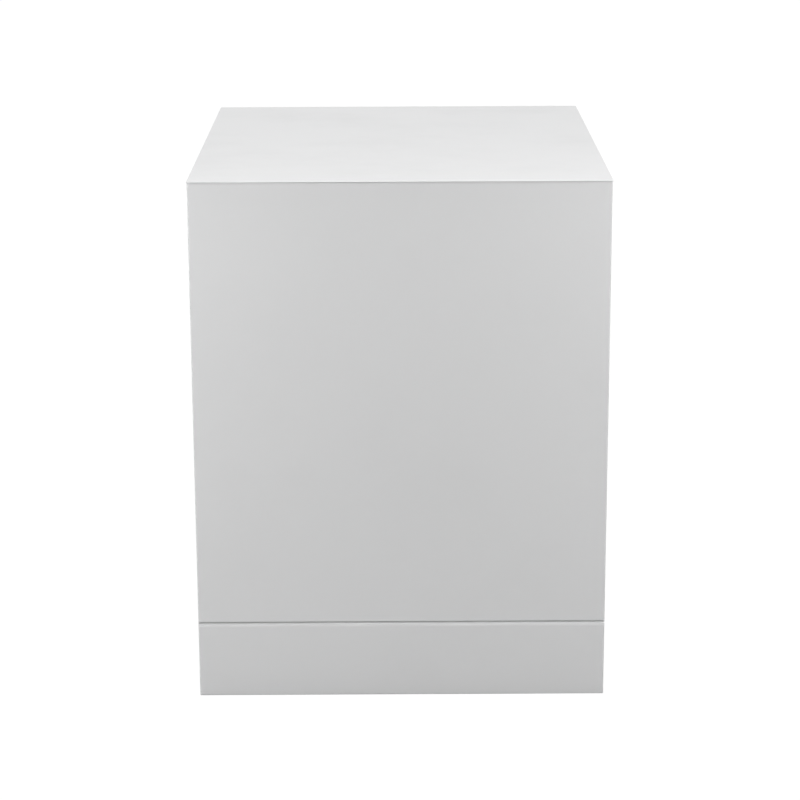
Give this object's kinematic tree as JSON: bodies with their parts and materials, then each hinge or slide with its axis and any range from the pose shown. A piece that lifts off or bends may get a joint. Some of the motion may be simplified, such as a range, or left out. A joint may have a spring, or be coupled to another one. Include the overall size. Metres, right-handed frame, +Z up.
{
  "type": "mini fridge",
  "caption": "White compact fridge with a flat handleless hinged door, folded steel cap and kick plinth, glass shelves, ice box and rear condenser.",
  "frame": {"origin": "on the floor under the middle of the cabinet", "axes": "+Z up from the feet to the cap, +Y from the door's face to the rear, +X to the right as seen from the front"},
  "size_m": [0.48, 0.576, 0.62],
  "materials": {
    "white_steel": "satin",
    "white_gloss_steel": "gloss",
    "galvanised_steel": "satin",
    "hardened_steel": "polished",
    "zinc_screws": "satin",
    "black_steel": "satin",
    "compressor_black": "gloss",
    "copper": "satin",
    "aluminium_sheet": "satin",
    "white_liner": "gloss",
    "white_moulding": "satin",
    "clear_moulding": "gloss",
    "shelf_glass": "polished",
    "insulation_foam": "matte",
    "seal_vinyl": "matte",
    "black_rubber": "matte",
    "grey_nylon": "matte",
    "black_plastic": "matte"
  },
  "bodies": {
    "cabinet": {"top_cap": "white_steel", "side_panel_left": "white_steel", "side_panel_right": "white_steel", "back_panel": "galvanised_steel", "floor_pan": "white_steel", "front_top_rail": "white_steel", "front_crossmember": "galvanised_steel", "base_rail_left": "galvanised_steel", "base_rail_right": "galvanised_steel", "compressor_plate": "galvanised_steel", "inner_liner": "white_liner", "cabinet_insulation": "insulation_foam", "plinth_panel": "white_steel", "plinth_brackets": "galvanised_steel", "upper_hinge_bracket": "galvanised_steel", "lower_hinge_bracket": "galvanised_steel", "hinge_pins": "hardened_steel", "thrust_washer": "grey_nylon", "hinge_screws": "zinc_screws", "panel_screws": "zinc_screws", "upper_shelf": "shelf_glass", "upper_shelf_trim": "white_moulding", "lower_shelf": "shelf_glass", "lower_shelf_trim": "white_moulding", "evaporator_box": "aluminium_sheet", "evaporator_hangers": "white_moulding", "ice_box_frame": "white_moulding", "drip_tray": "clear_moulding", "thermostat_housing": "white_moulding", "thermostat": "hardened_steel", "compressor": "compressor_black", "compressor_grommets": "black_rubber", "terminal_box": "black_plastic", "condenser_tube": "black_steel", "condenser_wires": "black_steel", "condenser_clips": "black_plastic", "filter_drier": "copper", "capillary_line": "copper", "suction_line": "copper", "cord_gland": "black_rubber", "rear_feet": "black_plastic", "foot_nuts": "zinc_screws"},
    "door": {"door_panel": "white_steel", "door_liner": "white_liner", "door_insulation": "insulation_foam", "door_top_end": "white_moulding", "door_bottom_end": "white_moulding", "door_seal": "seal_vinyl", "grip_cup": "white_moulding", "hinge_bushings": "grey_nylon", "upper_door_bin": "clear_moulding", "lower_door_bin": "clear_moulding", "bottle_rail": "white_moulding"},
    "ice_flap": {"ice_flap": "white_moulding"},
    "thermostat_knob": {"thermostat_knob": "white_moulding"},
    "front_foot_left": {"front_foot_left": "black_plastic"},
    "front_foot_right": {"front_foot_right": "black_plastic"}
  },
  "joints": [
    {"name": "door_hinge", "type": "hinge", "parent": "cabinet", "child": "door", "pos_m": [0.225, -0.261, 0.35], "axis": [0, 0, 1], "range_deg": [0, 110]},
    {"name": "ice_flap_hinge", "type": "hinge", "parent": "cabinet", "child": "ice_flap", "pos_m": [0, -0.089, 0.549], "axis": [-1, 0, 0], "range_deg": [0, 85]},
    {"name": "thermostat_turn", "type": "hinge", "parent": "cabinet", "child": "thermostat_knob", "pos_m": [0.1727, -0.034, 0.3935], "axis": [1, 0, 0], "range_deg": [0, 270]},
    {"name": "front_foot_left_screw", "type": "slide", "parent": "cabinet", "child": "front_foot_left", "axis": [0, 0, -1], "range_m": [0, 0.012]},
    {"name": "front_foot_right_screw", "type": "slide", "parent": "cabinet", "child": "front_foot_right", "axis": [0, 0, -1], "range_m": [0, 0.012]}
  ]
}
